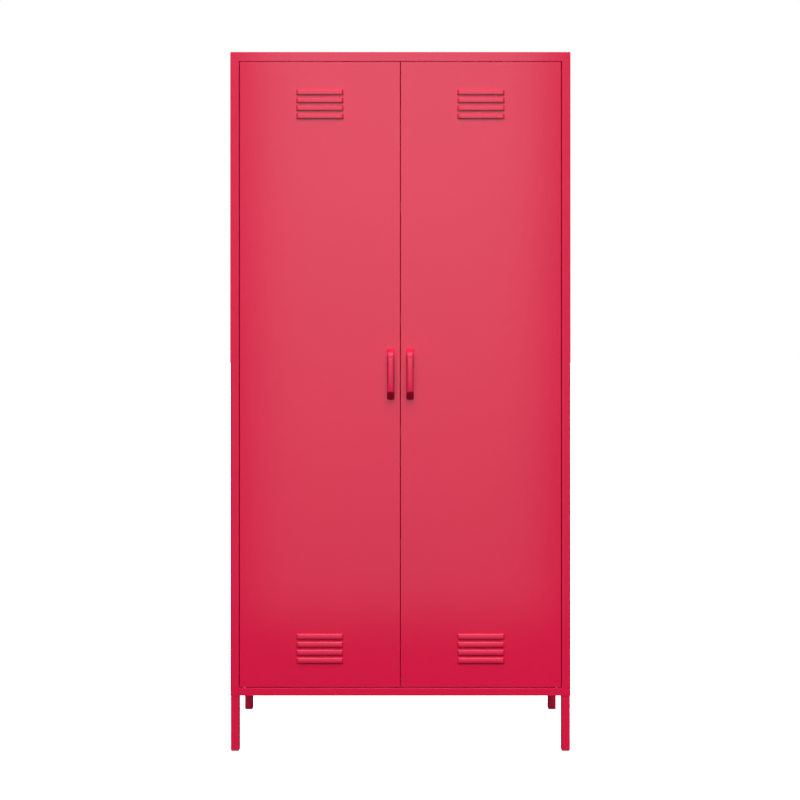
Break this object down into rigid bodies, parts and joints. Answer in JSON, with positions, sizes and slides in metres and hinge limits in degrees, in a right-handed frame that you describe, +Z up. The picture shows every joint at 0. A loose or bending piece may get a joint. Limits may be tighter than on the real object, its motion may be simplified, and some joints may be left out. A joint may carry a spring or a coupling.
{
  "type": "locker cabinet",
  "caption": "Tall freestanding sheet steel locker cabinet on square legs, with two louvred hinged doors, pull handles and adjustable shelves.",
  "frame": {"origin": "on the floor, under the middle of the whole cabinet with its handles", "axes": "+X to the right seen from the front, +Y to the back, +Z up"},
  "size_m": [0.9, 0.43, 1.85],
  "materials": {
    "paint": "semi-gloss crimson powder coat with a fine orange peel",
    "handle_paint": "gloss crimson paint on a moulded handle",
    "cap_plastic": "moulded crimson plastic",
    "dark_plastic": "moulded dark grey plastic with a fine grain",
    "nylon": "plain nylon",
    "zinc_steel": "zinc plated",
    "magnet_steel": "ground steel pole plates",
    "spring_steel": "drawn spring wire"
  },
  "bodies": {
    "cabinet": {"top_panel": "paint", "left_side_panel": "paint", "right_side_panel": "paint", "left_back_panel": "paint", "right_back_panel": "paint", "back_joint_strip": "paint", "bottom_panel": "paint", "left_front_shelf_strip": "paint", "left_rear_shelf_strip": "paint", "right_front_shelf_strip": "paint", "right_rear_shelf_strip": "paint", "shelf_1": "paint", "shelf_2": "paint", "shelf_3": "paint", "shelf_4": "paint", "shelf_clips": "zinc_steel", "front_left_leg": "paint", "front_right_leg": "paint", "rear_left_leg": "paint", "rear_right_leg": "paint", "front_left_leg_cap": "cap_plastic", "front_right_leg_cap": "cap_plastic", "rear_left_leg_cap": "cap_plastic", "rear_right_leg_cap": "cap_plastic", "leg_bolts": "zinc_steel", "carcass_screws": "zinc_steel", "back_screws": "zinc_steel", "top_catch": "dark_plastic", "bottom_catch": "dark_plastic", "catch_magnets": "magnet_steel", "catch_screws": "zinc_steel", "left_bottom_hinge_pin": "paint", "right_bottom_hinge_pin": "paint", "left_hinge_washer": "nylon", "right_hinge_washer": "nylon", "wall_anchor_plates": "zinc_steel"},
    "left_door": {"left_door_panel": "paint", "left_door_stiffener": "paint", "left_lower_hinge_plate": "zinc_steel", "left_bolt_bracket": "zinc_steel", "left_bolt_spring": "spring_steel", "left_handle": "handle_paint", "left_handle_screws": "zinc_steel"},
    "right_door": {"right_door_panel": "paint", "right_door_stiffener": "paint", "right_lower_hinge_plate": "zinc_steel", "right_bolt_bracket": "zinc_steel", "right_bolt_spring": "spring_steel", "right_handle": "handle_paint", "right_handle_screws": "zinc_steel"},
    "left_bolt": {"left_hinge_bolt": "paint", "left_bolt_knob": "dark_plastic"},
    "right_bolt": {"right_hinge_bolt": "paint", "right_bolt_knob": "dark_plastic"}
  },
  "joints": [
    {"name": "left_door_hinge", "type": "hinge", "parent": "cabinet", "child": "left_door", "pos_m": [-0.413, -0.178, 0.996], "axis": [0, 0, -1], "range_deg": [0, 115]},
    {"name": "right_door_hinge", "type": "hinge", "parent": "cabinet", "child": "right_door", "pos_m": [0.413, -0.178, 0.996], "axis": [0, 0, 1], "range_deg": [0, 115]},
    {"name": "left_bolt_slide", "type": "slide", "parent": "left_door", "child": "left_bolt", "axis": [0, 0, -1], "range_m": [0, 0.01], "stiffness_N_per_m": 500, "springref_m": -0.005, "deforming": ["left_bolt_spring"]},
    {"name": "right_bolt_slide", "type": "slide", "parent": "right_door", "child": "right_bolt", "axis": [0, 0, -1], "range_m": [0, 0.01], "stiffness_N_per_m": 500, "springref_m": -0.005, "deforming": ["right_bolt_spring"]}
  ]
}
